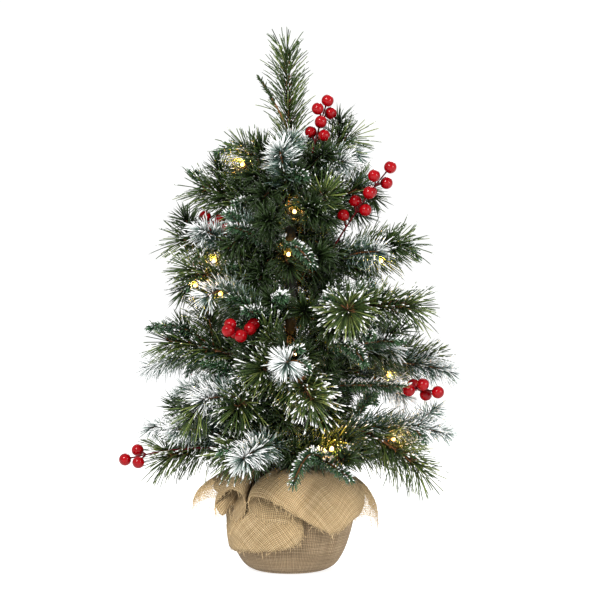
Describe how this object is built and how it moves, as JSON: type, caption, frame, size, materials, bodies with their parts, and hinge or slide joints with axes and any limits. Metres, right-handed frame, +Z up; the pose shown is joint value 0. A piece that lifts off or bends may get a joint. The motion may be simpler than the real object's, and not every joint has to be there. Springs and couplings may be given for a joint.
{
  "type": "artificial tabletop tree",
  "caption": "Pre-lit artificial tabletop tree: pine, frosted and fir sprays with red berries on bendable wire branches, taped to a pole in a burlap-wrapped weighted pot.",
  "frame": {"origin": "on the pole's axis, on the underside of the burlap-wrapped pot", "axes": "+Z up the pole, -Y towards the front of the tree, +X to its right"},
  "size_m": [0.3786, 0.3186, 0.5921],
  "materials": {
    "pot_plastic": "matte",
    "cement": "matte",
    "pole_steel": "satin",
    "trunk_tape": "matte",
    "burlap": "matte",
    "twine": "matte",
    "pine_foliage": "matte",
    "flocked_foliage": "matte",
    "fir_foliage": "matte",
    "branch_wire": "matte",
    "snow": "matte",
    "berry_red": "gloss",
    "berry_wire": "matte",
    "lead_green": "satin",
    "lamp_lens": "gloss",
    "case_plastic": "satin",
    "switch_plastic": "satin",
    "cell_jacket": "satin",
    "contact_steel": "satin"
  },
  "bodies": {
    "root": {"pot_shell": "pot_plastic", "cement_fill": "cement", "trunk_pole": "pole_steel", "trunk_tape": "trunk_tape", "burlap_wrap": "burlap", "neck_tie": "twine", "leader_tip": "pine_foliage", "lamp_string": "lead_green", "battery_case": "case_plastic", "battery_1": "cell_jacket", "battery_2": "cell_jacket", "spring_contacts": "contact_steel", "flat_contacts": "contact_steel"},
    "battery_cover": {"battery_cover": "case_plastic"},
    "timer_switch": {"timer_switch": "switch_plastic"},
    "crown_left": {"branch_crown_left": "pine_foliage", "lamps_crown_left": "lead_green"},
    "crown_front": {"branch_crown_front": "flocked_foliage"},
    "crown_right": {"branch_crown_right": "pine_foliage", "berries_crown_right": "berry_red"},
    "crown_back": {"branch_crown_back": "pine_foliage"},
    "upper_left": {"branch_upper_left": "pine_foliage"},
    "upper_right": {"branch_upper_right": "pine_foliage"},
    "upper_front": {"branch_upper_front": "fir_foliage"},
    "upper_back": {"branch_upper_back": "flocked_foliage"},
    "spread_left": {"branch_spread_left": "pine_foliage", "berries_spread_left": "berry_red", "lamps_spread_left": "lead_green"},
    "spread_right": {"branch_spread_right": "pine_foliage", "berries_spread_right": "berry_red", "lamps_spread_right": "lead_green"},
    "spread_back": {"branch_spread_back": "pine_foliage", "lamps_spread_back": "lead_green"},
    "centre_left": {"branch_centre_left": "pine_foliage", "lamps_centre_left": "lead_green"},
    "centre_front": {"branch_centre_front": "fir_foliage", "berries_centre_front": "berry_red"},
    "centre_right": {"branch_centre_right": "pine_foliage"},
    "centre_back": {"branch_centre_back": "flocked_foliage", "berries_centre_back": "berry_red"},
    "lower_left": {"branch_lower_left": "pine_foliage"},
    "lower_front": {"branch_lower_front": "flocked_foliage"},
    "lower_right_front": {"branch_lower_right_front": "fir_foliage"},
    "lower_right": {"branch_lower_right": "pine_foliage", "berries_lower_right": "berry_red", "lamps_lower_right": "lead_green"},
    "lower_left_front": {"branch_lower_left_front": "flocked_foliage"},
    "lower_right_back": {"branch_lower_right_back": "pine_foliage", "lamps_lower_right_back": "lead_green"},
    "lower_left_back": {"branch_lower_left_back": "flocked_foliage"},
    "bottom_right": {"branch_bottom_right": "flocked_foliage", "lamps_bottom_right": "lead_green"},
    "bottom_front": {"branch_bottom_front": "fir_foliage", "lamps_bottom_front": "lead_green"},
    "bottom_left_front": {"branch_bottom_left_front": "flocked_foliage"},
    "bottom_left": {"branch_bottom_left": "pine_foliage", "berries_bottom_left": "berry_red"},
    "bottom_right_back": {"branch_bottom_right_back": "pine_foliage", "lamps_bottom_right_back": "lead_green"},
    "bottom_left_back": {"branch_bottom_left_back": "flocked_foliage"}
  },
  "joints": [
    {"name": "bend_crown_left", "type": "hinge", "parent": "root", "child": "crown_left", "pos_m": [-0.0084, -0.00225, 0.421], "axis": [-0.2588, 0.9659, 0], "range_deg": [-15, 38]},
    {"name": "bend_crown_front", "type": "hinge", "parent": "root", "child": "crown_front", "pos_m": [-0.00166, -0.00854, 0.404], "axis": [-0.9816, 0.1908, 0], "range_deg": [-15, 36]},
    {"name": "bend_crown_right", "type": "hinge", "parent": "root", "child": "crown_right", "pos_m": [0.00865, 0.00091, 0.428], "axis": [0.1045, -0.9945, 0], "range_deg": [-15, 12]},
    {"name": "bend_crown_back", "type": "hinge", "parent": "root", "child": "crown_back", "pos_m": [0.0003, 0.00869, 0.411], "axis": [0.9994, -0.0349, 0], "range_deg": [-15, 36]},
    {"name": "bend_upper_left", "type": "hinge", "parent": "root", "child": "upper_left", "pos_m": [-0.00869, -0.00046, 0.38], "axis": [-0.0523, 0.9986, 0], "range_deg": [-10, 32]},
    {"name": "bend_upper_right", "type": "hinge", "parent": "root", "child": "upper_right", "pos_m": [0.00861, -0.00121, 0.372], "axis": [-0.1392, -0.9903, 0], "range_deg": [-15, 25]},
    {"name": "bend_upper_front", "type": "hinge", "parent": "root", "child": "upper_front", "pos_m": [-0.00615, -0.00615, 0.348], "axis": [-0.7071, 0.7071, 0], "range_deg": [-12, 15]},
    {"name": "bend_upper_back", "type": "hinge", "parent": "root", "child": "upper_back", "pos_m": [-0.00091, 0.00865, 0.366], "axis": [0.9945, 0.1045, 0], "range_deg": [-15, 32]},
    {"name": "bend_spread_left", "type": "hinge", "parent": "root", "child": "spread_left", "pos_m": [-0.00864, -0.00106, 0.326], "axis": [-0.1219, 0.9925, 0], "range_deg": [-10, 9]},
    {"name": "bend_spread_right", "type": "hinge", "parent": "root", "child": "spread_right", "pos_m": [0.00867, -0.00076, 0.32], "axis": [-0.0872, -0.9962, 0], "range_deg": [-15, 9]},
    {"name": "bend_spread_back", "type": "hinge", "parent": "root", "child": "spread_back", "pos_m": [0.0024, 0.00836, 0.306], "axis": [0.9613, -0.2756, 0], "range_deg": [-15, 30]},
    {"name": "bend_centre_left", "type": "hinge", "parent": "root", "child": "centre_left", "pos_m": [-0.00817, -0.00298, 0.284], "axis": [-0.342, 0.9397, 0], "range_deg": [-15, 16]},
    {"name": "bend_centre_front", "type": "hinge", "parent": "root", "child": "centre_front", "pos_m": [-0.00435, -0.00753, 0.262], "axis": [-0.866, 0.5, 0], "range_deg": [-15, 40]},
    {"name": "bend_centre_right", "type": "hinge", "parent": "root", "child": "centre_right", "pos_m": [0.00746, -0.00448, 0.268], "axis": [-0.515, -0.8572, 0], "range_deg": [-15, 42]},
    {"name": "bend_centre_back", "type": "hinge", "parent": "root", "child": "centre_back", "pos_m": [-0.00461, 0.00738, 0.262], "axis": [0.848, 0.5299, 0], "range_deg": [-15, 18]},
    {"name": "bend_lower_left", "type": "hinge", "parent": "root", "child": "lower_left", "pos_m": [-0.00865, -0.00091, 0.212], "axis": [-0.1045, 0.9945, 0], "range_deg": [-15, 28]},
    {"name": "bend_lower_front", "type": "hinge", "parent": "root", "child": "lower_front", "pos_m": [-0.00015, -0.0087, 0.2], "axis": [-0.9998, 0.0175, 0], "range_deg": [-15, 18]},
    {"name": "bend_lower_right_front", "type": "hinge", "parent": "root", "child": "lower_right_front", "pos_m": [0.00686, -0.00536, 0.222], "axis": [-0.6157, -0.788, 0], "range_deg": [-8, 16]},
    {"name": "bend_lower_right", "type": "hinge", "parent": "root", "child": "lower_right", "pos_m": [0.00869, 0.00046, 0.194], "axis": [0.0523, -0.9986, 0], "range_deg": [-12, 10]},
    {"name": "bend_lower_left_front", "type": "hinge", "parent": "root", "child": "lower_left_front", "pos_m": [-0.00686, -0.00536, 0.178], "axis": [-0.6157, 0.788, 0], "range_deg": [-15, 30]},
    {"name": "bend_lower_right_back", "type": "hinge", "parent": "root", "child": "lower_right_back", "pos_m": [0.00536, 0.00686, 0.216], "axis": [0.788, -0.6157, 0], "range_deg": [-15, 32]},
    {"name": "bend_lower_left_back", "type": "hinge", "parent": "root", "child": "lower_left_back", "pos_m": [-0.00536, 0.00686, 0.208], "axis": [0.788, 0.6157, 0], "range_deg": [-15, 26]},
    {"name": "bend_bottom_right", "type": "hinge", "parent": "root", "child": "bottom_right", "pos_m": [0.00861, -0.00121, 0.142], "axis": [-0.1392, -0.9903, 0], "range_deg": [-12, 12]},
    {"name": "bend_bottom_front", "type": "hinge", "parent": "root", "child": "bottom_front", "pos_m": [0.00435, -0.00753, 0.126], "axis": [-0.866, -0.5, 0], "range_deg": [-5, 40]},
    {"name": "bend_bottom_left_front", "type": "hinge", "parent": "root", "child": "bottom_left_front", "pos_m": [-0.00312, -0.00812, 0.134], "axis": [-0.9336, 0.3584, 0], "range_deg": [-15, 32]},
    {"name": "bend_bottom_left", "type": "hinge", "parent": "root", "child": "bottom_left", "pos_m": [-0.00865, -0.00091, 0.148], "axis": [-0.1045, 0.9945, 0], "range_deg": [-12, 18]},
    {"name": "bend_bottom_right_back", "type": "hinge", "parent": "root", "child": "bottom_right_back", "pos_m": [0.00761, 0.00422, 0.132], "axis": [0.4848, -0.8746, 0], "range_deg": [-15, 35]},
    {"name": "bend_bottom_left_back", "type": "hinge", "parent": "root", "child": "bottom_left_back", "pos_m": [-0.00761, 0.00422, 0.14], "axis": [0.4848, 0.8746, 0], "range_deg": [-15, 32]},
    {"name": "cover_slide", "type": "slide", "parent": "root", "child": "battery_cover", "axis": [0, 0, 1], "range_m": [0, 0.025]},
    {"name": "timer_slide", "type": "slide", "parent": "root", "child": "timer_switch", "axis": [1, 0, 0], "range_m": [-0.003, 0.003]}
  ]
}
